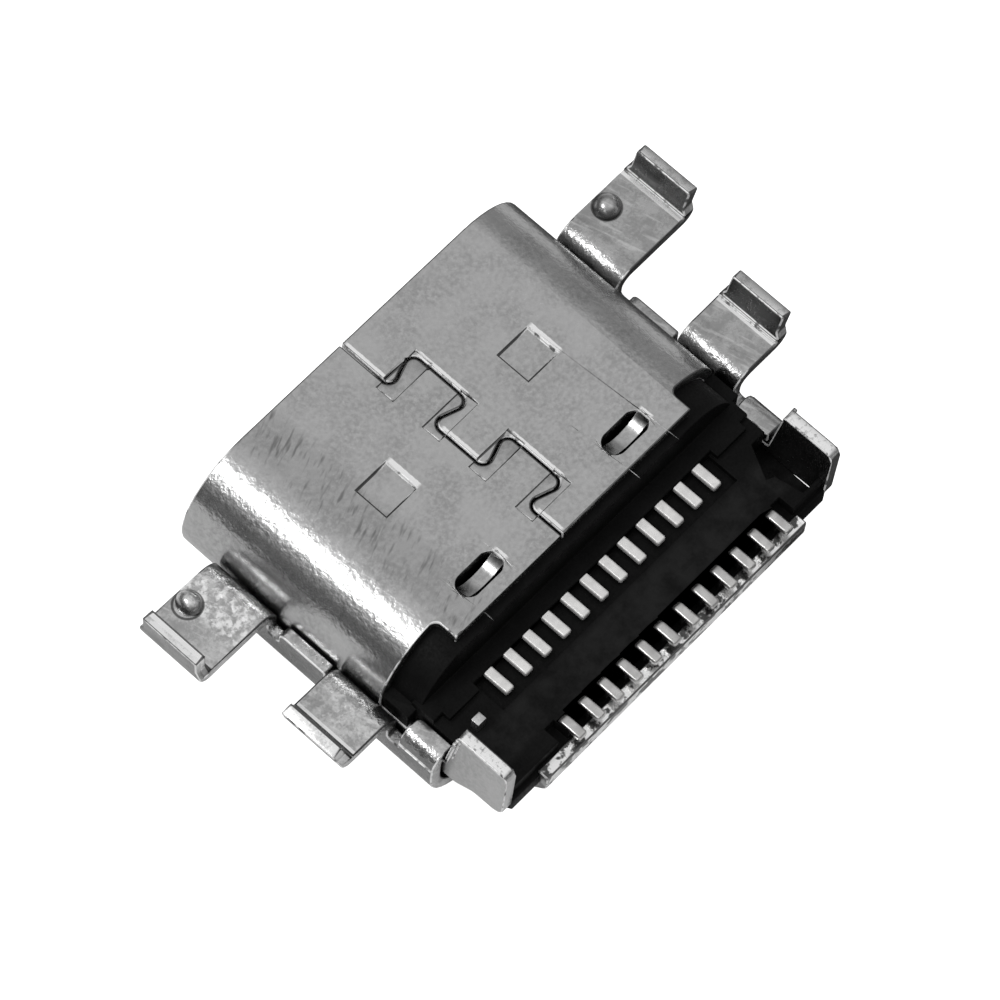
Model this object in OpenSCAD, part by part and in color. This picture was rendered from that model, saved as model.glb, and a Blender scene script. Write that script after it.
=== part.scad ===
// Mid-mount USB-C socket with 24 contacts.
// +Y is the way the mouth faces, +Z is the side that meets the circuit board.
// The origin is under the middle of the part, on the plane that its bracket rests on.

/* [Shell] */
// Clear width of the mouth
mouth_w = 8.34; // [8.3:0.01:8.4]
// Clear height of the mouth
mouth_h = 2.56; // [2.5:0.01:2.6]
// Thickness of the shell's sheet
shell_t = 0.25; // [0.2:0.01:0.25]
// Length of the shell's flat top and floor
shell_len = 5.35; // [5.2:0.05:5.5]
// Length of the shell's rounded sides
side_len = 4.85; // [4.8:0.05:5.1]
// Half width of the stretch that keeps the full length at the rear
rear_flat = 3.08; // [2.9:0.02:3.3]

/* [Seam] */
// Line that the dovetail teeth grow from, off the centre line
seam_x = -0.34; // [-0.5:0.02:-0.2]
// How far the teeth reach across
tooth_reach = 0.78; // [0.6:0.02:0.9]
// Tooth width at its neck
tooth_neck = 0.93; // [0.8:0.01:1]
// Tooth width at its tip
tooth_head = 1.47; // [1.3:0.01:1.5]
// Distance of the first tooth from the mouth
tooth_1 = 1.715; // [1.6:0.005:1.8]
// Distance from the first tooth to the second
tooth_pitch = 2.285; // [2.2:0.005:2.4]
// Radius of the tooth corners
tooth_r = 0.17; // [0.1:0.01:0.2]
// Gap left between the two edges of the sheet
seam_gap = 0.045; // [0.02:0.005:0.08]

/* [Bracket] */
// Thickness of the bracket's sheet
bracket_t = 0.25; // [0.2:0.01:0.25]
// Distance between the outer faces of the side walls
bracket_w = 9.4; // [9.36:0.02:9.6]
// Outer radius of the bend from floor to wall
bracket_bend = 1.25; // [1:0.05:1.3]
// Reach of the front legs from the centre plane to the foot of the peg
front_leg_x = 6.3; // [6:0.05:6.5]
// Reach of the rear legs from the centre plane to the foot of the peg
rear_leg_x = 5.6; // [5.4:0.05:6]
// Height of the pegs above the board plane
peg_h = 0.63; // [0.5:0.01:0.8]
// Outward lean of the pegs, in degrees
peg_lean = 16; // [0:1:20]

/* [Contacts] */
// Distance between neighbouring contacts
pitch = 0.5; // [0.5]
// Contacts in each row
row_count = 12; // [12]
// Thickness of the contact strip
contact_t = 0.15; // [0.12:0.01:0.16]
// Width of a contact on the tongue
contact_w = 0.25; // [0.22:0.01:0.28]
// Width of a tail
tail_w = 0.21; // [0.18:0.01:0.24]
// Sideways step of the rear row of tails
tail_step = 0.25; // [0.2:0.01:0.25]

/* [Tongue] */
// Width of the tongue
tongue_w = 6.69; // [6.6:0.01:6.7]
// Thickness of the tongue
tongue_t = 0.7; // [0.65:0.01:0.7]
// Distance of the tip of the tongue from the mouth
tongue_tip = 0.5; // [0.4:0.05:0.8]

/* [Hidden] */
$fn = 48;

// All distances called _back are measured from the mouth towards the rear.
body_len = 7.98;                              // mouth to the bracket's rear lip
mouth_y = body_len / 2;
shell_w = mouth_w + 2 * shell_t;
shell_h = mouth_h + 2 * shell_t;
axis_z = bracket_t + shell_h / 2;             // centre plane of the tongue
top_z = axis_z + shell_h / 2;
board_z = axis_z + tongue_t / 2 + 0.05;       // face of the circuit board, top of the contacts
side_x = shell_w / 2;                         // widest point of the shell
inner_side_x = side_x - shell_t;
wall_x = bracket_w / 2;                       // outer face of the bracket's walls
lead = 0.08;                                  // widening at the very front of the mouth
eps = 0.01;

// Pressed features of the shell's top
coin_depth = 0.05;                            // square pads
pad_size = [0.78, 0.74];
pad_x = 1.85;
pad_back = 2.53;
stake_depth = 0.03;                           // punch marks over the flanks of the teeth
stake_size = [1.03, 0.40];
stake_back = 1.24;
stake_pitch = 1.12;
bridge_x = 1.91;                              // pressed-in bridges
bridge_back = 4.82;
bridge_size = [1.04, 0.48];
bridge_sag = 0.28;
bridge_slit = 0.1;

// Side arms and ears of the shell
arm_top = axis_z - 0.1;
arm_low = axis_z - 0.58;
arm_inset = 0.015;
arm_cover = 5.47;                             // rear end of the shoulder that covers the arm
ear_foot = 6.42;                              // front edge of the ear, low and high
ear_front = 6.62;
ear_back = 7.78;
ear_step = [6.67, 7.10];                      // where the lower edge climbs from arm to ear
ear_top = top_z - 0.15;
ear_low = axis_z - 0.30;
curl_w = 0.1;                                 // outward curl of the ear's front edge
curl_t = 0.08;

// Bracket
leg_1 = [0.92, 2.40];                         // front legs, from and to, back from the mouth
leg_2 = [3.88, 5.30];                         // rear legs
wall_end = 6.38;                              // rear end of the side walls
wall_top = axis_z + 0.05;                     // top edge of the walls between the legs
lug_top = axis_z + 0.23;                      // lugs: wall ends folded inwards over the arms
lug_bend = 0.36;
lug_x = 4.18;                                 // inner edge of a lug
lug_front = 5.56;
wall_lap = 0.15;                              // walls stop this far below wall_top at legs and lugs
relief_w = 0.26;                              // relief cuts beside the legs
relief_low = wall_top - 0.35;
leg_bend = 0.48;                              // outer radius where a leg leaves its wall
peg_inset = 0.09;                             // pegs are this much narrower than their leg
peg_bend = 0.3;                               // outer radius at the foot of a peg
dome_x = 5.52;
dome_back = 1.22;
dome_r = 0.27;
dome_h = 0.26;
floor_x = wall_x - bracket_bend;              // half width of the flat floor
lip_x = 3.45;                                 // half width of the floor behind the side walls
ramp = [6.8, 1.42];                           // where the floor turns up, height where the lip begins
lip_top = axis_z + 0.08;

// Housing
face_back = 4.5;                              // inner end of the mouth's cavity
plug_back = 5.52;                             // end of the part that sits inside the shell
housing_back = 7.8;
cover_z = board_z + 0.06;                     // housing over the front contacts, behind the shell
trench_z = board_z - contact_t - 0.06;        // floor around the front row of tails
land_z = board_z - 0.07;                      // flat land between the two rows
land_back = 7.69;
ledge_z = lip_top - 0.04;                     // step behind the land, in front of the lip
trench = [5.88, 6.58];
trench_x = 3.1;
plateau_x = [3.15, 3.92];                     // raised patches beside the trench
plateau_back = 6.05;
comb_front = 7.34;                            // front end of the rear comb
comb_w = 0.25;
bridge_pocket_z = top_z - 0.85;               // floor of the pockets under the shell's bridges
collar_len = 0.95;                            // thick root of the tongue
collar_w = 6.9;
collar_h = 1.1;
pocket_z = axis_z - 0.3;                      // floor of the pocket beside the ear
ground_t = 0.12;                              // ground plates on the root
ground_low = 0.43;                            // how far they reach down towards the centre plane

// Tails, from and to, back from the mouth
upper_tail = [5.90, 6.43];
lower_tail = [7.38, 7.94];
contact_front = 0.95;
jog = [5.6, 6.3];                             // stretch in which the lower contacts step aside
plate_t = 0.15;                               // mid plate
tip_r = 0.45;                                 // rounded corners of the tongue's tip
nose_t = 0.14;                                // half thickness at the tip, behind which it slopes up
nose_len = 0.35;
notch_back = 2.35;                            // latch notches in the sides of the mid plate
notch_size = [0.6, 0.9];
stem_w = 6;                                   // mid plate inside the housing
stem_end = 6.3;
pin_x = [-3.73, -3.52];                       // its tail, which stands up beside the ear
pin_back = [6.36, 6.54];
pin_top = board_z + 0.22;

function two_digits(i) = i < 10 ? str("0", i) : str(i);
function contact_x(i) = (i - (row_count + 1) / 2) * pitch;
function unit(v) = v / norm(v);

// Points of one rounded corner: b is the corner, a and c its neighbours, r the radius
function corner(a, b, c, r, steps) =
    let (u = unit(a - b), v = unit(c - b), half = acos(u * v) / 2)
    r <= 0 || half > 89.9 ? [b] :
    let (reach = r / tan(half), m = b + unit(u + v) * r / sin(half),
         p = b + u * reach - m, q = b + v * reach - m,
         turn = p[0] * q[1] - p[1] * q[0] > 0 ? 1 : -1,
         start = atan2(p[1], p[0]), sweep = turn * (180 - 2 * half))
    [for (k = [0:steps]) m + r * [cos(start + sweep * k / steps), sin(start + sweep * k / steps)]];

// Closed outline with every corner rounded; each point is [x, y, radius]
function rounded(pts, steps = 5) =
    let (n = len(pts), xy = [for (p = pts) [p[0], p[1]]])
    [for (i = [0:n - 1]) each corner(xy[(i + n - 1) % n], xy[i], xy[(i + 1) % n], pts[i][2], steps)];

// Open line with its inner corners rounded
function rounded_line(pts, steps = 6) =
    let (n = len(pts), xy = [for (p = pts) [p[0], p[1]]])
    concat([xy[0]],
           [for (i = [1:n - 2]) each corner(xy[i - 1], xy[i], xy[i + 1], pts[i][2], steps)],
           [xy[n - 1]]);

// Band of width w along an open line
function band(line, w) =
    let (n = len(line),
         side = [for (i = [0:n - 1])
             let (d = unit(line[min(i + 1, n - 1)] - line[max(i - 1, 0)])) [-d[1], d[0]] * w / 2])
    concat([for (i = [0:n - 1]) line[i] + side[i]], [for (i = [n - 1:-1:0]) line[i] - side[i]]);

module mirrored() {
    for (s = [0, 1]) mirror([s, 0, 0]) children();
}

// Extrudes an X-Z outline rearwards from one distance behind the mouth to another
module rearward(from, to) {
    translate([0, mouth_y - from, 0]) rotate([90, 0, 0]) linear_extrude(to - from) children();
}

// Extrudes an outline of [back, z] along X, from x1 to x2
module across(x1, x2) {
    translate([x1, mouth_y, 0]) rotate([90, 0, -90]) mirror([0, 0, 1]) linear_extrude(x2 - x1) children();
}

// Extrudes a plan outline of [x, back] upwards, from z1 to z2
module upward(z1, z2) {
    translate([0, mouth_y, z1]) mirror([0, 1, 0]) linear_extrude(z2 - z1) children();
}

// Box between two x, two distances behind the mouth and two heights
module block(x, back, z) {
    translate([x[0], mouth_y - back[1], z[0]]) cube([x[1] - x[0], back[1] - back[0], z[1] - z[0]]);
}

// Flat-sided outline with full-round ends, centred on the tongue's axis
module racetrack(w, h) {
    translate([0, axis_z]) {
        square([w - h, h], center = true);
        for (s = [-1, 1]) translate([s * (w - h) / 2, 0]) circle(d = h);
    }
}

// Widening lead-in of the mouth: half cones at the ends, a wedge between them
module lead_in(w, h, grow) {
    translate([0, mouth_y + eps, axis_z]) rotate([90, 0, 0]) {
        for (s = [-1, 1]) translate([s * (w - h) / 2, 0, 0])
            cylinder(h = grow + eps, r1 = h / 2 + grow + eps, r2 = h / 2);
        rotate([90, 0, 90]) translate([0, 0, -(w - h) / 2]) linear_extrude(w - h)
            polygon([[-h / 2 - grow - eps, 0], [h / 2 + grow + eps, 0],
                     [h / 2, grow + eps], [-h / 2, grow + eps]]);
    }
}

// ---------- shell ----------

function tooth_corners(mid) = [
    [seam_x, mid - tooth_neck / 2, tooth_r], [seam_x + tooth_reach, mid - tooth_head / 2, tooth_r],
    [seam_x + tooth_reach, mid + tooth_head / 2, tooth_r], [seam_x, mid + tooth_neck / 2, tooth_r]];

function seam_line() = rounded_line(concat(
    [[seam_x, -0.5]], tooth_corners(tooth_1), tooth_corners(tooth_1 + tooth_pitch),
    [[seam_x, shell_len + 0.5]]));

// Strip pressed down into a shallow U, between two slits
module bridge_strip() {
    half = bridge_size[0] / 2;
    sag_r = (half * half + bridge_sag * bridge_sag) / (2 * bridge_sag);
    width = bridge_size[1] - 2 * bridge_slit;
    translate([bridge_x, mouth_y - bridge_back + width / 2, top_z]) rotate([90, 0, 0])
        linear_extrude(width) intersection() {
            translate([0, sag_r - bridge_sag]) difference() {
                circle(r = sag_r + shell_t);
                circle(r = sag_r);
            }
            translate([-half - eps, -1]) square([bridge_size[0] + 2 * eps, 1]);
        }
}

module pressed_window() {
    r = bridge_size[1] / 2;
    translate([bridge_x, mouth_y - bridge_back, top_z - 0.7]) linear_extrude(1) {
        square([bridge_size[0] - 2 * r, bridge_size[1]], center = true);
        for (s = [-1, 1]) translate([s * (bridge_size[0] / 2 - r), 0]) circle(r = r);
    }
}

// Arm and ear in [back, z]: one flat plate that carries the tube's wall rearwards
function arm_outline() = rounded([
    [side_len, arm_low, 0], [side_len, arm_top, 0], [ear_foot, arm_top, 0.08],
    [ear_front, ear_top, 0.1], [ear_back, ear_top, 0.2], [ear_back, ear_low, 0.25],
    [ear_step[1], ear_low - 0.02, 0.4], [ear_step[0], arm_low, 0.2]]);

module arm_with_ear() {
    x = side_x - arm_inset;
    slope = (ear_front - ear_foot) / (ear_top - arm_top);
    z = [lug_top + 0.12, ear_top - 0.12];
    back = [for (h = z) ear_foot + (h - arm_top) * slope - eps];
    across(x - shell_t, x) polygon(arm_outline());
    // curl along the front edge
    across(x - eps, x + curl_w) polygon(rounded([
        [back[0], z[0], 0.03], [back[1], z[1], 0.03], [back[1] + curl_t, z[1], 0.03],
        [back[0] + curl_t, z[0], 0.03]], 3));
}

module shell() color("silver") {
    difference() {
        union() {
            difference() {
                rearward(0, shell_len) racetrack(shell_w, shell_h);
                rearward(-1, shell_len + 1) racetrack(mouth_w, mouth_h);
                lead_in(mouth_w, mouth_h, lead);
                // sides end short of the flats, with a rounded inner corner
                mirrored() upward(-1, top_z + 1) polygon(rounded([
                    [rear_flat, side_len, 0.15], [side_x + 1, side_len, 0],
                    [side_x + 1, shell_len + 1, 0], [rear_flat, shell_len + 1, 0]]));
            }
            mirrored() arm_with_ear();
        }
        // seam through the top sheet only
        upward(axis_z + 0.5, top_z + 1) polygon(band(seam_line(), seam_gap));
        for (k = [0:3]) upward(top_z - stake_depth, top_z + 1)
            translate([0, stake_back + k * stake_pitch]) square(stake_size, center = true);
        mirrored() upward(top_z - coin_depth, top_z + 1)
            translate([pad_x, pad_back]) square(pad_size, center = true);
        mirrored() pressed_window();
    }
    mirrored() bridge_strip();
}

// ---------- bracket ----------

// Half of the U-shaped section: flat floor, bend and wall up to a height
module u_half(height) {
    translate([-eps, 0]) square([floor_x + eps, bracket_t]);
    intersection() {
        translate([floor_x, bracket_bend]) difference() {
            circle(r = bracket_bend);
            circle(r = bracket_bend - bracket_t);
        }
        translate([floor_x, 0]) square(bracket_bend);
    }
    translate([wall_x - bracket_t, bracket_bend]) square([bracket_t, height - bracket_bend]);
}

// Section of a leg: out of the wall over a bend, flat, then up into a leaning peg
module leg_section(reach) {
    flat_z = board_z - bracket_t;
    root_x = wall_x - bracket_t + leg_bend;
    // wall up to the start of the bend
    translate([wall_x - bracket_t, bracket_bend])
        square([bracket_t, board_z - leg_bend - bracket_bend]);
    // bend out of the wall
    intersection() {
        translate([root_x, board_z - leg_bend]) difference() {
            circle(r = leg_bend);
            circle(r = leg_bend - bracket_t);
        }
        translate([root_x - leg_bend, board_z - leg_bend]) square(leg_bend);
    }
    // flat
    translate([root_x, flat_z]) square([reach - root_x + eps, bracket_t]);
    // foot of the peg
    translate([reach, flat_z + peg_bend]) intersection() {
        circle(r = peg_bend);
        polygon([[0, 0], [0, -1], [1, -1], [cos(peg_lean), -sin(peg_lean)]]);
    }
    // peg
    translate([reach, flat_z + peg_bend]) rotate(-peg_lean)
        translate([peg_bend - bracket_t, 0]) square([bracket_t, peg_h + bracket_t - peg_bend]);
}

// Section of a lug: up the wall, then folded inwards over the shell's arm
module lug_section() {
    translate([wall_x - bracket_t, bracket_bend])
        square([bracket_t, lug_top - lug_bend - bracket_bend]);
    intersection() {
        translate([wall_x - lug_bend, lug_top - lug_bend]) difference() {
            circle(r = lug_bend);
            circle(r = lug_bend - bracket_t);
        }
        translate([wall_x - lug_bend, lug_top - lug_bend]) square(lug_bend);
    }
    translate([lug_x, lug_top - bracket_t]) square([wall_x - lug_bend - lug_x + eps, bracket_t]);
}

// One leg, with the corners of its peg rounded off in the side view
module leg(span, reach) {
    shoulder = board_z + 0.02;
    neck = board_z + 0.16;
    tip = board_z + peg_h;
    intersection() {
        rearward(span[0], span[1]) leg_section(reach);
        across(0, reach + 2) polygon(rounded([
            [span[0], 0, 0], [span[0], shoulder, 0.1], [span[0] + peg_inset, neck, 0.1],
            [span[0] + peg_inset, tip, 0.12], [span[1] - peg_inset, tip, 0.12],
            [span[1] - peg_inset, neck, 0.1], [span[1], shoulder, 0.1], [span[1], 0, 0]]));
    }
}

// Side walls, cut to their outline in [back, z]
function wall_outline() = rounded([
    [leg_1[0], -1, 0], [leg_1[0], wall_top - wall_lap, 0.1], [leg_1[1], wall_top - wall_lap, 0],
    [leg_1[1], relief_low, 0.08], [leg_1[1] + relief_w, relief_low, 0.08],
    [leg_1[1] + relief_w, wall_top, 0.15], [leg_2[0] - 0.1, wall_top, 0.05],
    [leg_2[0] - 0.1, relief_low, 0.03], [leg_2[0], relief_low, 0],
    [leg_2[0], wall_top - wall_lap, 0], [leg_2[1], wall_top - wall_lap, 0],
    [leg_2[1], relief_low, 0.08], [lug_front, relief_low, 0.03],
    [lug_front, wall_top - wall_lap, 0], [wall_end, wall_top - wall_lap, 0], [wall_end, -1, 0]]);

module lug() {
    intersection() {
        rearward(lug_front, wall_end) lug_section();
        upward(0, top_z) polygon(rounded([
            [lug_x, lug_front + 0.02, 0.12], [wall_x + 1, lug_front - 0.1, 0],
            [wall_x + 1, wall_end + 1, 0], [lug_x, wall_end + 1, 0]]));
    }
}

module dome() {
    translate([dome_x, mouth_y - dome_back, board_z]) {
        // spherical cap
        cap_r = (dome_r * dome_r + dome_h * dome_h) / (2 * dome_h);
        intersection() {
            translate([0, 0, dome_h - cap_r]) sphere(r = cap_r);
            translate([0, 0, -eps]) cylinder(h = dome_h + 1, r = dome_r + eps);
        }
    }
}

// Floor behind the side walls: turned up in a ramp that ends in an upright lip
module bracket_tail() {
    mid = bracket_t / 2;
    across(-lip_x, lip_x) polygon(band(rounded_line([
        [wall_end - 0.4, mid], [ramp[0], mid, 0.35], [body_len - mid, ramp[1], 0.3],
        [body_len - mid, lip_top]]), bracket_t));
}

module bracket() color("gainsboro") {
    intersection() {
        mirrored() rearward(leg_1[0], wall_end) u_half(wall_top);
        across(-10, 10) polygon(wall_outline());
    }
    mirrored() {
        leg(leg_1, front_leg_x);
        leg(leg_2, rear_leg_x);
        lug();
        dome();
    }
    bracket_tail();
}

// ---------- contacts ----------

// Upper contacts run straight back from the tongue to the front row of tails
module upper_contact(i) {
    x = contact_x(i);
    block([x - contact_w / 2, x + contact_w / 2], [contact_front, plug_back], [board_z - contact_t, board_z]);
    across(x - tail_w / 2, x + tail_w / 2) polygon(rounded([
        [plug_back - eps, board_z, 0], [upper_tail[1], board_z, 0.05],
        [upper_tail[1], board_z - contact_t, 0], [plug_back - eps, board_z - contact_t, 0]], 4));
}

// Lower contacts step aside, run on under the land and rise at the rear edge
module lower_contact(i) {
    x = contact_x(i);
    low = axis_z - tongue_t / 2 - 0.05;
    upward(low, low + contact_t) polygon([
        [x - contact_w / 2, contact_front], [x + contact_w / 2, contact_front],
        [x + contact_w / 2, jog[0]], [x + tail_step + tail_w / 2, jog[1]],
        [x + tail_step + tail_w / 2, lower_tail[0] + 0.1], [x + tail_step - tail_w / 2, lower_tail[0] + 0.1],
        [x + tail_step - tail_w / 2, jog[1]], [x - contact_w / 2, jog[0]]]);
    across(x + tail_step - tail_w / 2, x + tail_step + tail_w / 2) polygon(rounded([
        [lower_tail[0], low, 0], [lower_tail[0], board_z, 0.14], [lower_tail[1], board_z, 0.05],
        [lower_tail[1], board_z - contact_t, 0], [lower_tail[0] + contact_t, board_z - contact_t, 0.03],
        [lower_tail[0] + contact_t, low, 0.1]], 4));
}

module all_contacts() {
    for (i = [1:row_count]) {
        upper_contact(i);
        lower_contact(i);
    }
}

// ---------- tongue ----------

// Plan of the tongue with rounded tip corners
module tongue_plan(w, tip, end, r) {
    polygon(rounded([[-w / 2, tip, r], [w / 2, tip, r], [w / 2, end, 0], [-w / 2, end, 0]]));
}

// Section of one wafer in [back, z above the centre], with a sloping nose
module wafer_section(side) {
    inner = plate_t / 2;
    outer = tongue_t / 2;
    across(-tongue_w / 2, tongue_w / 2) translate([0, axis_z]) scale([1, side]) polygon([
        [tongue_tip, inner], [tongue_tip, nose_t], [tongue_tip + nose_len, outer], [face_back, outer],
        [face_back, inner]]);
}

module wafer(side) {
    difference() {
        intersection() {
            wafer_section(side);
            upward(0, top_z) tongue_plan(tongue_w - 0.1, tongue_tip, face_back, tip_r);
        }
        for (i = [1:row_count]) {
            if (side > 0) upper_contact(i);
            else lower_contact(i);
        }
    }
}

module upper_wafer() color("dimgray") wafer(1);
module lower_wafer() color("dimgray") wafer(-1);

// Plate between the wafers: shows at the sides of the tongue, with the two latch notches
module mid_plate() color("lightgray") {
    upward(axis_z - plate_t / 2, axis_z + plate_t / 2) difference() {
        union() {
            tongue_plan(tongue_w, tongue_tip + 0.05, face_back, tip_r);
            translate([-stem_w / 2, face_back - eps]) square([stem_w, stem_end - face_back]);
            // branch that leads out to the tail
            translate([pin_x[0] - 0.07, stem_end - 0.1]) square([1, 0.35]);
        }
        n = notch_size / 2;
        for (s = [-1, 1]) translate([s * tongue_w / 2, notch_back])
            polygon(rounded([
                [-n[0], -n[1], 0.08], [n[0], -n[1], 0.08], [n[0], n[1], 0.08], [-n[0], n[1], 0.08]]));
    }
    block(pin_x, pin_back, [axis_z, pin_top]);
}

// Thin plate folded down over the front of the tongue's thick root
module ground_plate(side) {
    front = face_back - collar_len;
    translate([0, 0, axis_z]) scale([1, 1, side]) translate([0, 0, -axis_z]) {
        block([-collar_w / 2, collar_w / 2], [front, face_back],
              [axis_z + collar_h / 2, axis_z + collar_h / 2 + ground_t]);
        block([-collar_w / 2, collar_w / 2], [front - ground_t, front],
              [axis_z + ground_low, axis_z + collar_h / 2 + ground_t]);
    }
}

module upper_ground_plate() color("lightgray") ground_plate(1);
module lower_ground_plate() color("lightgray") ground_plate(-1);

// ---------- housing ----------

// Rear block in [back, z]: cover over the front contacts, land, step, and a sloping underside
function block_outline() = rounded([
    [shell_len, bracket_t, 0], [shell_len, cover_z, 0], [trench[0], cover_z, 0.05], [trench[0], land_z, 0],
    [land_back, land_z, 0.03], [land_back, ledge_z, 0], [housing_back, ledge_z, 0.05],
    [housing_back, ramp[1], 0], [ramp[0], bracket_t, 0.2]], 3);

module housing_solid() {
    // plug that fills the shell behind the cavity
    rearward(face_back, plug_back) racetrack(mouth_w, mouth_h);
    // thick root of the tongue
    block([-collar_w / 2, collar_w / 2], [face_back - collar_len, face_back],
          [axis_z - collar_h / 2, axis_z + collar_h / 2]);
    // rear block between the shell's arms, rounded where it lies in the bracket's bends
    intersection() {
        block_x = inner_side_x - arm_inset;
        across(-block_x, block_x) polygon(block_outline());
        lower_r = inner_side_x - floor_x;
        rearward(0, body_len) polygon(rounded([
            [-inner_side_x, bracket_t, lower_r], [inner_side_x, bracket_t, lower_r],
            [inner_side_x, top_z, 0], [-inner_side_x, top_z, 0]]));
    }
    mirrored() {
        // shoulders over the front of the arms
        block([2, side_x - 0.04], [side_len, arm_cover], [arm_top, land_z]);
        block(plateau_x, [plug_back, plateau_back], [land_z - 0.3, cover_z]);
    }
}

// Open pocket beside the ear on the +X side, in plan
function pocket_plan() = [
    [3.8, 6.3], [side_x, 6.3], [side_x, 7.6], [3.74, 7.6], [3.62, 7.02], [3.46, 6.95]];

module housing() color("#1c1c1e") difference() {
    housing_solid();
    // trench around the front row of tails
    block([-trench_x, trench_x], trench, [trench_z, top_z]);
    upward(pocket_z, top_z) polygon(pocket_plan());
    // comb between the rear tails
    for (i = [0:row_count]) {
        gap_x = contact_x(i) + tail_step + pitch / 2;
        block([gap_x - comb_w / 2, gap_x + comb_w / 2], [comb_front, body_len], [ledge_z, top_z]);
    }
    // room for the shell's arms
    mirrored() block([inner_side_x - arm_inset, side_x], [side_len, plug_back + eps], [arm_low, arm_top]);
    // pockets that take the shell's pressed-in bridges
    room = bridge_size / 2 + [0.04, 0.02];
    mirrored() block([bridge_x - room[0], bridge_x + room[0]],
                     [bridge_back - room[1], bridge_back + room[1]], [bridge_pocket_z, top_z]);
    all_contacts();
    upper_wafer();
    lower_wafer();
    mid_plate();
    bracket_tail();
}

shell();
bracket();
housing();
upper_wafer();
lower_wafer();
mid_plate();
upper_ground_plate();
lower_ground_plate();
for (i = [1:row_count]) {
    color("gold") upper_contact(i);
    color("gold") lower_contact(i);
}
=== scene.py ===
import math

import bmesh
import bpy
from mathutils import Matrix, Vector


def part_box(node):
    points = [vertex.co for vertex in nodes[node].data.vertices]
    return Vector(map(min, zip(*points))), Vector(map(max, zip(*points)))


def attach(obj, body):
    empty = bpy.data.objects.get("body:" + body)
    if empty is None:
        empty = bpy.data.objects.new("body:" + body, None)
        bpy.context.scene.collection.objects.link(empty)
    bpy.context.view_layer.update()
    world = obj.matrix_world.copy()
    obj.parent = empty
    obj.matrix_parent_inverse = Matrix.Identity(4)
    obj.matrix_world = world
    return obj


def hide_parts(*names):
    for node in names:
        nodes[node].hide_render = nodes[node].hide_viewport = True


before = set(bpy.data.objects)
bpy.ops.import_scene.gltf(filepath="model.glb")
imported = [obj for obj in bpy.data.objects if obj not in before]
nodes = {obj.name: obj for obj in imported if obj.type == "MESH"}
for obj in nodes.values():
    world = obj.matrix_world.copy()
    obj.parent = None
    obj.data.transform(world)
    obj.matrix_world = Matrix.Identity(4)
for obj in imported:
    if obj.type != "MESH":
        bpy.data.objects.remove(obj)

MM = 0.001
ROOT = "root"
scene = bpy.context.scene
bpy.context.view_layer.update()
shell_low, shell_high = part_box("shell")
bracket_low, bracket_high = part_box("bracket")


# ---------- camera ----------

def direction(azimuth, elevation):
    """Unit vector from the object towards a viewer at that azimuth and elevation, in degrees."""
    a, e = math.radians(azimuth), math.radians(elevation)
    return Vector((math.sin(a) * math.cos(e), -math.cos(a) * math.cos(e), math.sin(e)))


def aimed(obj, target, azimuth, elevation, distance, roll=0.0):
    """Places obj at a distance from the target, looking at it."""
    back = direction(azimuth, elevation)
    a = math.radians(azimuth)
    right = Vector((math.cos(a), math.sin(a), 0))
    right.rotate(Matrix.Rotation(math.radians(roll), 3, back))
    up = back.cross(right)
    place = Matrix((right, up, back)).transposed().to_4x4()
    place.translation = target + back * distance
    obj.matrix_world = place
    return obj


def add_camera():
    data = bpy.data.cameras.new("camera")
    data.sensor_width = 36
    data.lens = 213.9
    data.shift_x, data.shift_y = 0.0053, -0.0206
    data.clip_start, data.clip_end = 2 * MM, 5
    camera = bpy.data.objects.new("camera", data)
    scene.collection.objects.link(camera)
    aim = Vector((0, shell_high.y - 3.5 * MM, shell_high.z - 1.0 * MM))
    aimed(camera, aim, CAMERA_AZIMUTH, CAMERA_ELEVATION, 106.0 * MM, CAMERA_ROLL)
    scene.camera = camera


CAMERA_AZIMUTH, CAMERA_ELEVATION, CAMERA_ROLL = -54.08, 64.86, 7.4
add_camera()


# ---------- light, floor and world ----------

def softbox(name, azimuth, elevation, distance, width, height, brightness):
    """Area light whose face has that brightness, where 1 is white."""
    data = bpy.data.lights.new(name, "AREA")
    data.shape = "RECTANGLE"
    data.size, data.size_y = width, height
    data.energy = brightness * math.pi * width * height
    lamp = bpy.data.objects.new(name, data)
    scene.collection.objects.link(lamp)
    aimed(lamp, Vector((0, 0, 2 * MM)), azimuth, elevation, distance)
    lamp.visible_camera = False
    return lamp


class Tree:
    """Short way to add nodes to a material, world or group and wire them up."""

    def __init__(self, tree):
        self.tree = tree

    def add(self, kind, links=None, **settings):
        node = self.tree.nodes.new(kind)
        for name, value in settings.items():
            setattr(node, name, value)
        for name, value in (links or {}).items():
            if isinstance(value, bpy.types.NodeSocket):
                self.tree.links.new(value, node.inputs[name])
            else:
                node.inputs[name].default_value = value
        return node

    def math(self, operation, a, b=0.0, clamp=False):
        return self.add("ShaderNodeMath", {0: a, 1: b}, operation=operation, use_clamp=clamp).outputs[0]

    def ramp(self, value, low, high, start=0.0, end=1.0):
        """Value from low to high, spread between start and end, smoothed."""
        node = self.add("ShaderNodeMapRange", {"Value": value, "From Min": low, "From Max": high,
                                               "To Min": start, "To Max": end},
                        interpolation_type="SMOOTHSTEP")
        return node.outputs["Result"]

    def mix(self, factor, a, b, blend="MIX"):
        node = self.add("ShaderNodeMix", {0: factor, 6: a, 7: b}, data_type="RGBA", blend_type=blend)
        return node.outputs[2]


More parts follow.
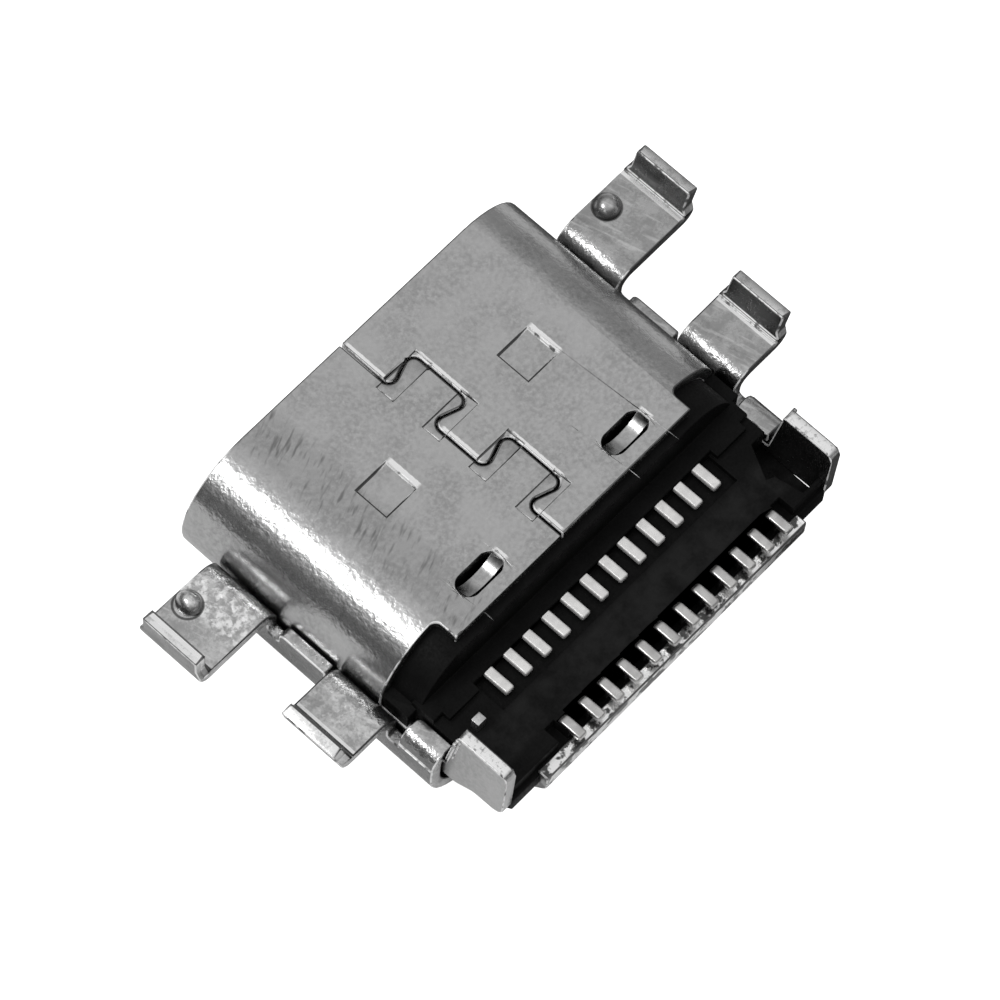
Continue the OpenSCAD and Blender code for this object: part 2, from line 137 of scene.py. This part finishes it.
def add_world():
    """White where it is seen directly; as light, bright overhead and dim towards the horizon."""
    world = bpy.data.worlds.new("studio")
    scene.world = world
    world.use_nodes = True
    world.node_tree.nodes.clear()
    t = Tree(world.node_tree)
    where = t.add("ShaderNodeTexCoord").outputs["Generated"]
    part = t.add("ShaderNodeSeparateXYZ", {0: where}).outputs
    dome = t.ramp(part[2], 0.35, 0.88, 0.13, 0.74)
    dome = t.math("MAXIMUM", dome, t.ramp(part[0], 0.25, 0.5, 0.0, 0.36))
    path = t.add("ShaderNodeLightPath")
    seen = t.math("MAXIMUM", path.outputs["Is Camera Ray"], path.outputs["Is Transmission Ray"])
    strength = t.math("MAXIMUM", dome, seen)
    back = t.add("ShaderNodeBackground", {"Color": (1, 1, 1, 1), "Strength": strength})
    t.add("ShaderNodeOutputWorld", {"Surface": back.outputs[0]})


def add_floor():
    bm = bmesh.new()
    bmesh.ops.create_grid(bm, x_segments=1, y_segments=1, size=0.5)
    mesh = bpy.data.meshes.new("floor")
    bm.to_mesh(mesh)
    bm.free()
    floor = bpy.data.objects.new("floor", mesh)
    scene.collection.objects.link(floor)
    floor.location.z = -0.02 * MM
    material = bpy.data.materials.new("pale_floor")
    material.use_nodes = True
    material.node_tree.nodes.clear()
    t = Tree(material.node_tree)
    path = t.add("ShaderNodeLightPath")
    seen = t.math("MAXIMUM", path.outputs["Is Camera Ray"], path.outputs["Is Transmission Ray"])
    where = t.add("ShaderNodeTexCoord").outputs["Object"]
    x = t.add("ShaderNodeSeparateXYZ", {0: where}).outputs[0]
    # painted shade: seen in reflections, the floor is darker beside the +X side of the part
    shade = t.math("MULTIPLY", t.ramp(x, 2 * MM, 4 * MM), t.ramp(x, 8 * MM, 12 * MM, 1.0, 0.0))
    mirrored = t.math("MULTIPLY", path.outputs["Is Glossy Ray"], t.ramp(shade, 0, 1, 0.15, 0.0))
    dim = t.math("MULTIPLY", path.outputs["Is Glossy Ray"], shade)
    colour = t.mix(dim, (0.82, 0.82, 0.82, 1), (0.12, 0.12, 0.12, 1))
    matt = t.add("ShaderNodeBsdfDiffuse", {"Color": colour})
    strength = t.math("MAXIMUM", t.math("MULTIPLY", seen, 0.93), mirrored)
    glow = t.add("ShaderNodeEmission", {"Color": (1, 1, 1, 1), "Strength": strength})
    both = t.add("ShaderNodeAddShader", {0: matt.outputs[0], 1: glow.outputs[0]})
    t.add("ShaderNodeOutputMaterial", {"Surface": both.outputs[0]})
    mesh.materials.append(material)


def add_lights():
    softbox("key_light", -117, 53, 120 * MM, 46 * MM, 21 * MM, 11.0)
    softbox("side_light", -70, 30, 140 * MM, 24 * MM, 30 * MM, 3.0)


scene.view_settings.view_transform = "Standard"
add_world()
add_floor()
add_lights()


# ---------- shared surface effects ----------

def new_group(name, inputs, outputs):
    """Shader group with float or vector inputs and outputs; returns the group and its wiring."""
    group = bpy.data.node_groups.new(name, "ShaderNodeTree")
    for label, kind, value in inputs:
        socket = group.interface.new_socket(label, in_out="INPUT", socket_type=kind)
        if value is not None:
            socket.default_value = value
    for label, kind in outputs:
        group.interface.new_socket(label, in_out="OUTPUT", socket_type=kind)
    t = Tree(group)
    return group, t, t.add("NodeGroupInput").outputs, t.add("NodeGroupOutput").inputs


FLOAT, VECTOR = "NodeSocketFloat", "NodeSocketVector"


def cloud_group():
    """Soft cloudy patches with a finer grain over them, from 0 to 1."""
    group, t, given, out = new_group("cloudy_patches", [
        ("Vector", VECTOR, None), ("Size mm", FLOAT, 1.0), ("Grain", FLOAT, 0.4)],
        [("Patches", FLOAT)])
    scale = t.math("DIVIDE", 1.0 / MM, given["Size mm"])
    big = t.add("ShaderNodeTexNoise", {"Vector": given["Vector"], "Scale": scale, "Detail": 3.0,
                                       "Roughness": 0.55}).outputs[0]
    small = t.add("ShaderNodeTexNoise", {"Vector": given["Vector"], "Scale": t.math("MULTIPLY", scale, 9.0),
                                         "Detail": 4.0, "Roughness": 0.7}).outputs[0]
    shift = t.math("MULTIPLY", t.math("SUBTRACT", small, 0.5), given["Grain"])
    t.tree.links.new(t.ramp(t.math("ADD", big, shift), 0.3, 0.7), out["Patches"])
    return group


def scratch_group():
    """Fine straight scratches that run along X before the vector is turned, from 0 to 1."""
    group, t, given, out = new_group("fine_scratches", [
        ("Vector", VECTOR, None), ("Angle", FLOAT, 0.0),
        ("Spacing mm", FLOAT, 0.05), ("Length mm", FLOAT, 1.5)],
        [("Scratches", FLOAT)])
    turned = t.add("ShaderNodeVectorRotate", {"Vector": given["Vector"], "Angle": given["Angle"]},
                   rotation_type="Z_AXIS").outputs[0]
    parts = t.add("ShaderNodeSeparateXYZ", {0: turned}).outputs
    along = t.math("DIVIDE", parts[0], t.math("MULTIPLY", given["Length mm"], MM))
    across = t.math("DIVIDE", parts[1], t.math("MULTIPLY", given["Spacing mm"], MM))
    height = t.math("DIVIDE", parts[2], t.math("MULTIPLY", given["Spacing mm"], MM))
    stretched = t.add("ShaderNodeCombineXYZ", {0: along, 1: across, 2: height}).outputs[0]
    lines = t.add("ShaderNodeTexNoise", {"Vector": stretched, "Scale": 1.0, "Detail": 2.0,
                                         "Roughness": 0.6}).outputs[0]
    t.tree.links.new(t.ramp(lines, 0.52, 0.72), out["Scratches"])
    return group


CLOUDS = cloud_group()
SCRATCHES = scratch_group()


def grey(value, warm=0.0):
    return (value * (1 + warm), value, value * (1 - warm), 1)


def textured(name):
    """Empty material: its wiring, object coordinates and their parts."""
    material = bpy.data.materials.new(name)
    material.use_nodes = True
    material.node_tree.nodes.clear()
    t = Tree(material.node_tree)
    where = t.add("ShaderNodeTexCoord").outputs["Object"]
    return material, t, where, t.add("ShaderNodeSeparateXYZ", {0: where}).outputs


def noise(t, where, size_mm, detail=3.0, roughness=0.55):
    return t.add("ShaderNodeTexNoise", {"Vector": where, "Scale": 1 / (size_mm * MM), "Detail": detail,
                                        "Roughness": roughness}).outputs[0]


def clouds(t, where, size_mm, grain):
    node = t.add("ShaderNodeGroup", {}, node_tree=CLOUDS)
    t.tree.links.new(where, node.inputs["Vector"])
    node.inputs["Size mm"].default_value = size_mm
    node.inputs["Grain"].default_value = grain
    return node.outputs[0]


def scratches(t, where, angle, spacing_mm, length_mm):
    node = t.add("ShaderNodeGroup", {}, node_tree=SCRATCHES)
    t.tree.links.new(where, node.inputs["Vector"])
    node.inputs["Angle"].default_value = math.radians(angle)
    node.inputs["Spacing mm"].default_value = spacing_mm
    node.inputs["Length mm"].default_value = length_mm
    return node.outputs[0]


def window(t, value, low, high, soft):
    """1 between low and high, falling to 0 over the soft distance outside them; all in mm."""
    return t.math("MULTIPLY", t.ramp(value, (low - soft) * MM, low * MM),
                  t.ramp(value, high * MM, (high + soft) * MM, 1.0, 0.0))


def metal(t, colour, roughness, height, depth, metallic=1.0):
    bump = t.add("ShaderNodeBump", {"Height": height, "Distance": depth * MM, "Strength": 1.0}).outputs[0]
    bsdf = t.add("ShaderNodeBsdfPrincipled", {"Base Color": colour, "Roughness": roughness,
                                              "Metallic": metallic, "Normal": bump})
    t.add("ShaderNodeOutputMaterial", {"Surface": bsdf.outputs[0]})


# painted highlight strips along the cut edges that face -X, where the key light would glint off rolled edges:
# (x of the edge, spans back from the mouth), in mm
SEAM_STRIPS = ((-0.34, ((0.1, 1.0), (2.45, 3.25), (4.75, 5.25))), (0.44, ((1.15, 2.25), (3.42, 4.55))))
PAD_STRIPS = ((-1.46, ((2.2, 2.86),)), (2.24, ((2.2, 2.86),)))
BRIDGE_STRIPS = ((-1.43, ((4.72, 4.92),)), (2.39, ((4.72, 4.92),)))
STRIP_NEAR, STRIP_FAR = 0.04, 0.13      # sides of a strip, from its edge, in mm


def painted_edge_highlights(t, part, edges):
    """Marks the painted highlight strips of the shell's top, each with slightly uneven sides."""
    x = t.math("ADD", part[0], t.math("MULTIPLY", edges, 0.05 * MM))
    mouth = shell_high.y / MM
    total = 0.0
    for line, spans in SEAM_STRIPS + PAD_STRIPS + BRIDGE_STRIPS:
        along = 0.0
        for start, end in spans:
            along = t.math("ADD", window(t, part[1], mouth - end, mouth - start, 0.08), along)
        beside = window(t, x, line + STRIP_NEAR, line + STRIP_FAR, 0.02)
        total = t.math("ADD", t.math("MULTIPLY", along, beside), total)
    return t.math("MULTIPLY", total, t.ramp(part[2], shell_high.z - 0.05 * MM, shell_high.z - 0.03 * MM))


def shell_sheet():
    """Satin plate: soft clouds, crumpled along its bends, scratched darker beside the -X bend, with painted
    highlights on the ear tops and along the top's edges that face -X.
    """
    material, t, where, part = textured("shell_steel")
    cloud = clouds(t, where, 0.8, 0.55)
    fine = noise(t, where, 0.09, 4.0, 0.7)
    colour = t.mix(cloud, grey(0.36), grey(0.48))
    colour = t.mix(t.ramp(fine, 0.35, 0.7), colour, grey(0.52))
    # painted highlight: the tops of the ears at the rear turn near-white in grainy patches
    ear_top = t.ramp(part[1], shell_low.y + 1.4 * MM, shell_low.y + 1.2 * MM)
    ear_top = t.math("MULTIPLY", ear_top, t.ramp(part[2], shell_high.z - 0.24 * MM, shell_high.z - 0.16 * MM))
    colour = t.mix(t.math("MULTIPLY", ear_top, t.ramp(fine, 0.3, 0.5)), colour, grey(1.0))
    beside = window(t, part[0], -2.85, -2.25, 0.3)
    strokes = t.math("ADD", t.math("MULTIPLY", scratches(t, where, -20, 0.1, 0.5), 0.75), 0.22)
    colour = t.mix(t.math("MULTIPLY", strokes, beside), colour, grey(0.2))
    strips = painted_edge_highlights(t, part, fine)
    # painted highlight: near-white, less metallic strips beside the edges that face -X
    colour = t.mix(strips, colour, grey(1.0))
    off_centre = t.math("ABSOLUTE", part[0])
    bend = window(t, off_centre, 3.2, 4.1, 0.25)
    uneven = t.math("ADD", t.math("MULTIPLY", bend, 0.9), 0.15)
    crumple = t.math("MULTIPLY", noise(t, where, 0.13, 3.0, 0.6), uneven)
    roughness = t.math("ADD", t.math("MULTIPLY", fine, 0.12), 0.19)
    metallic = t.math("SUBTRACT", 1.0, t.math("MULTIPLY", strips, 0.95))
    metal(t, colour, roughness, crumple, 0.011, metallic)
    return material


def bracket_sheet():
    """Plate of the outer stamping, crumpled at the legs' roots, with painted light: lighter on its -X half,
    painted highlights at the leg roots, peg creases, peg tops and rear lip, painted shade round the domes and
    on faces turned to -X.
    """
    material, t, where, part = textured("bracket_steel")
    cloud = clouds(t, where, 0.45, 0.8)
    left = t.ramp(part[0], -1 * MM, 1 * MM, 1.0, 0.0)
    off_centre = t.math("ABSOLUTE", part[0])
    root = window(t, off_centre, 4.5, 4.95, 0.15)
    colour = t.mix(cloud, grey(0.34), grey(0.48))
    # painted light: the -X half, towards the key light, is painted lighter
    colour = t.mix(t.math("MULTIPLY", left, 0.5), colour, t.mix(cloud, grey(0.46), grey(0.8)))
    streak = scratches(t, where, 75, 0.09, 0.6)
    colour = t.mix(t.math("MULTIPLY", streak, 0.3), colour, grey(0.95))
    top = board_face - 0.02 * MM
    on_top = t.ramp(part[2], top - 0.05 * MM, top)
    # painted highlight patches near the roots of the legs on the -X side
    patch = t.ramp(noise(t, where, 0.2, 4.0, 0.65), 0.44, 0.62)
    root_highlight = t.math("MULTIPLY", window(t, off_centre, 4.8, 5.4, 0.3), t.math("MULTIPLY", left, on_top))
    root_highlight = t.math("MULTIPLY", root_highlight, t.ramp(part[1], 0.0, 1.2 * MM, 0.35, 1.0))
    colour = t.mix(t.math("MULTIPLY", root_highlight, patch), colour, grey(1.0))
    # painted highlight along the crease at the foot of each peg, painted shade ring round each dome
    for foot, low, high in ((6.3, 0.0, 6.0), (5.6, -6.0, 0.9)):
        crease = t.math("MULTIPLY", window(t, off_centre, foot - 0.08, foot + 0.02, 0.02),
                        t.math("MULTIPLY", window(t, part[1], low, high, 0.01), on_top))
        colour = t.mix(t.math("MULTIPLY", crease, 0.9), colour, grey(1.0))
    offset = t.add("ShaderNodeCombineXYZ", {0: t.math("SUBTRACT", off_centre, dome_x),
                                            1: t.math("SUBTRACT", part[1], dome_y)}).outputs[0]
    away = t.add("ShaderNodeVectorMath", {0: offset}, operation="LENGTH").outputs["Value"]
    # painted shade: a dark ring round each dome
    ring = window(t, away, 0.262, 0.29, 0.02)
    colour = t.mix(t.math("MULTIPLY", t.math("MULTIPLY", ring, on_top), 0.85), colour, grey(0.06))
    # painted highlight on the tops of the pegs
    tip = t.ramp(part[2], bracket_high.z - 0.08 * MM, bracket_high.z - 0.03 * MM)
    colour = t.mix(t.math("MULTIPLY", tip, t.ramp(cloud, 0.0, 0.6, 0.35, 0.9)), colour, grey(0.98))
    # painted highlights and dark reflections in patches along the rear lip
    lip = t.ramp(part[1], bracket_low.y + 0.2 * MM, bracket_low.y + 0.32 * MM, 1.0, 0.0)
    broken = t.ramp(noise(t, where, 0.3, 4.0, 0.65), 0.44, 0.52)
    colour = t.mix(t.math("MULTIPLY", lip, 0.9), colour, t.mix(broken, grey(0.05), grey(1.0)))
    # painted shade on faces turned to -X
    facing = t.add("ShaderNodeTexCoord").outputs["Normal"]
    side = t.add("ShaderNodeSeparateXYZ", {0: facing}).outputs[0]
    colour = t.mix(t.math("MULTIPLY", t.ramp(side, -0.5, -0.9), 0.75), colour, grey(0.14))
    uneven = t.math("ADD", t.math("MULTIPLY", root, 0.8), t.math("MULTIPLY", left, 0.3))
    crumple = t.math("MULTIPLY", noise(t, where, 0.2, 3.0, 0.6), uneven)
    roughness = t.math("ADD", t.math("MULTIPLY", cloud, -0.08), 0.32)
    metal(t, colour, roughness, crumple, 0.034)
    return material


def small_plate(name, dark, light, size_mm=0.3, rough=0.33, metallic=1.0):
    """Plating on the contacts and inner plates: small clouds and slight dents."""
    material, t, where, _ = textured(name)
    cloud = clouds(t, where, size_mm, 0.7)
    colour = t.mix(cloud, dark, light)
    roughness = t.math("ADD", t.math("MULTIPLY", cloud, -0.08), rough)
    metal(t, colour, roughness, noise(t, where, 0.12), 0.006, metallic)
    return material


def painted_edge_glint(name, dark, light):
    """Rounded cut edge: painted highlight where it faces -X, towards the key light, painted shade on the
    other side.
    """
    material, t, where, _ = textured(name)
    facing = t.add("ShaderNodeTexCoord").outputs["Normal"]
    side = t.add("ShaderNodeSeparateXYZ", {0: facing}).outputs[0]
    bright = t.ramp(side, -0.08, -0.3)
    broken = t.ramp(noise(t, where, 0.22, 3.0, 0.6), 0.36, 0.5)
    colour = t.mix(t.math("MULTIPLY", bright, broken), dark, light)
    metallic = t.math("SUBTRACT", 1.0, t.math("MULTIPLY", bright, 0.75))
    metal(t, colour, 0.4, noise(t, where, 0.1), 0.003, metallic)
    return material


def moulded_plastic(name, dark, light):
    """Matt black plastic: faint clouds, a painted lighter band between the two rows of tails where the flat
    land catches the light, a sandy surface.
    """
    material, t, where, part = textured(name)
    cloud = clouds(t, where, 0.5, 0.6)
    sand = noise(t, where, 0.045, 2.0)
    colour = t.mix(cloud, dark, light)
    band_rear = shell_high.y - 7.35 * MM
    band = t.math("MULTIPLY", t.ramp(part[1], band_rear - 0.1 * MM, band_rear + 0.1 * MM),
                  t.ramp(part[1], band_rear + 0.6 * MM, band_rear + 0.85 * MM, 1.0, 0.0))
    # painted light: the band between the rows is painted lighter, in patches
    painted_lit_band = t.math("MULTIPLY", band, t.ramp(noise(t, where, 0.6, 5.0, 0.65), 0.3, 0.65))
    colour = t.mix(t.math("MULTIPLY", painted_lit_band, 0.8), colour, grey(0.018))
    roughness = t.ramp(sand, 0.3, 0.7, 0.68, 0.5)
    bump = t.add("ShaderNodeBump", {"Height": sand, "Distance": 0.003 * MM, "Strength": 0.5}).outputs[0]
    bsdf = t.add("ShaderNodeBsdfPrincipled", {"Base Color": colour, "Roughness": roughness, "Normal": bump,
                                              "Specular IOR Level": 0.13})
    t.add("ShaderNodeOutputMaterial", {"Surface": bsdf.outputs[0]})
    return material


board_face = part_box("upper_contact_01")[1].z       # the legs' flats lie in this plane too
dome_x, dome_y, dome_reach = 5.52 * MM, shell_high.y - 1.22 * MM, 0.32 * MM
bridge_x, bridge_y, bridge_reach = 1.91 * MM, shell_high.y - 4.82 * MM, 0.62 * MM
shell_steel = shell_sheet()
bracket_steel = bracket_sheet()
plate_steel = small_plate("plate_steel", grey(0.5), grey(0.75))
# one contact plating painted in two lightings: the front row lit, the rear row in shade
lit_front_plating = small_plate("front_row_plating_painted_lit", grey(0.82, 0.01), grey(0.98, 0.01), 0.2, metallic=0.5)
shaded_rear_plating = small_plate("rear_row_plating_painted_shade", grey(0.50, 0.01), grey(0.66, 0.01), 0.2)
steel_edge_glint = painted_edge_glint("steel_edge_painted_glint", grey(0.16), grey(0.97))
housing_plastic = moulded_plastic("housing_plastic", grey(0.0012), grey(0.004))
wafer_plastic = moulded_plastic("wafer_plastic", grey(0.006), grey(0.012))


# ---------- pieces carried over from the solids, with their edges broken ----------

def sharp_edges(bm, angle):
    return [e for e in bm.edges if len(e.link_faces) == 2 and e.calc_face_angle(0) > math.radians(angle)]


def step_height(edge):
    """Height of the lowest wall that an edge belongs to."""
    heights = [1.0]
    for face in edge.link_faces:
        if abs(face.normal.z) < 0.5:
            z = [v.co.z for v in face.verts]
            heights.append(max(z) - min(z))
    return min(heights)


def rounded_off(bm, edges, width, segments):
    """Rounds edges off; the new faces take the second material."""
    made = bmesh.ops.bevel(bm, geom=edges, offset=width, offset_type="OFFSET", segments=segments, profile=0.5,
                           affect="EDGES", clamp_overlap=False, material=-1)
    for face in made["faces"]:
        face.material_index = 1


def near(edge, x, y, reach):
    """Whether an edge lies within that reach of a point at +x or -x."""
    mid = (edge.verts[0].co + edge.verts[1].co) / 2
    return math.hypot(abs(mid.x) - x, mid.y - y) < reach


def upright_peg(co):
    """Bends the front leg on the -X side inwards, so that its peg stands nearly upright."""
    root, foot, leg_rear = 5.3 * MM, 6.3 * MM, shell_high.y - 3 * MM
    centre_z, pull, most, lean = board_face + 0.05 * MM, 0.16 * MM, 14.0, 16.0
    if co.x > -root or co.y < leg_rear:
        return co
    x = -co.x
    if x <= foot:
        return Vector((-(x - pull * (x - root) / (foot - root)), co.y, co.z))
    away, up = x - foot, co.z - centre_z
    polar = math.degrees(math.atan2(up, away))
    turn = math.radians(most * min(1.0, max(0.0, (polar + 90) / (90 - lean))))
    x = foot - pull + away * math.cos(turn) - up * math.sin(turn)
    z = centre_z + away * math.sin(turn) + up * math.cos(turn)
    return Vector((-x, co.y, min(z, bracket_high.z)))


def finished(node, material, edge, others=(), shape=None, shallow=(), segments=2):
    """Copy of a solid with its stamped or moulded edges rounded off, less so at shallow steps."""
    bm = bmesh.new()
    bm.from_mesh(nodes[node].data)
    bmesh.ops.remove_doubles(bm, verts=bm.verts, dist=0.0004 * MM)
    bmesh.ops.dissolve_limit(bm, angle_limit=math.radians(1.5), verts=bm.verts, edges=bm.edges)
    if shallow:
        for limit, width in shallow:
            rounded_off(bm, [e for e in sharp_edges(bm, 60) if step_height(e) < limit], width, 1)
        bridges = [e for e in sharp_edges(bm, 50) if near(e, bridge_x, bridge_y, bridge_reach)]
        rounded_off(bm, bridges, 0.008 * MM, 1)
        rest = [e for e in sharp_edges(bm, 50) if not near(e, bridge_x, bridge_y, bridge_reach)]
        rounded_off(bm, rest, edge, segments)
    else:
        edges = [e for e in sharp_edges(bm, 32) if not near(e, dome_x, dome_y, dome_reach)]
        rounded_off(bm, edges, edge, segments)
    if shape:
        for v in bm.verts:
            v.co = shape(v.co)
    for face in bm.faces:
        face.smooth = True
    for e in bm.edges:
        e.smooth = len(e.link_faces) == 2 and e.calc_face_angle(0) < math.radians(40)
    mesh = bpy.data.meshes.new(node + "_finished")
    bm.to_mesh(mesh)
    bm.free()
    mesh.materials.append(material)
    for other in others or (material,):
        mesh.materials.append(other)
    piece = bpy.data.objects.new(node + "_finished", mesh)
    scene.collection.objects.link(piece)
    weighted = piece.modifiers.new("weighted_normals", "WEIGHTED_NORMAL")
    weighted.keep_sharp = True
    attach(piece, ROOT)
    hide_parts(node)
    return piece


finished("shell", shell_steel, 0.03 * MM, (steel_edge_glint,),
         shallow=[(0.035 * MM, 0.012 * MM), (0.06 * MM, 0.022 * MM)])
finished("bracket", bracket_steel, 0.03 * MM, (steel_edge_glint,), upright_peg, segments=3)
finished("housing", housing_plastic, 0.012 * MM)
for name in ("upper_wafer", "lower_wafer"):
    finished(name, wafer_plastic, 0.01 * MM)
for name in ("mid_plate", "upper_ground_plate", "lower_ground_plate"):
    finished(name, plate_steel, 0.012 * MM)
for name in sorted(nodes):
    if name.startswith("upper_contact_"):
        finished(name, lit_front_plating, 0.042 * MM, segments=3)
    if name.startswith("lower_contact_"):
        finished(name, shaded_rear_plating, 0.042 * MM, segments=3)
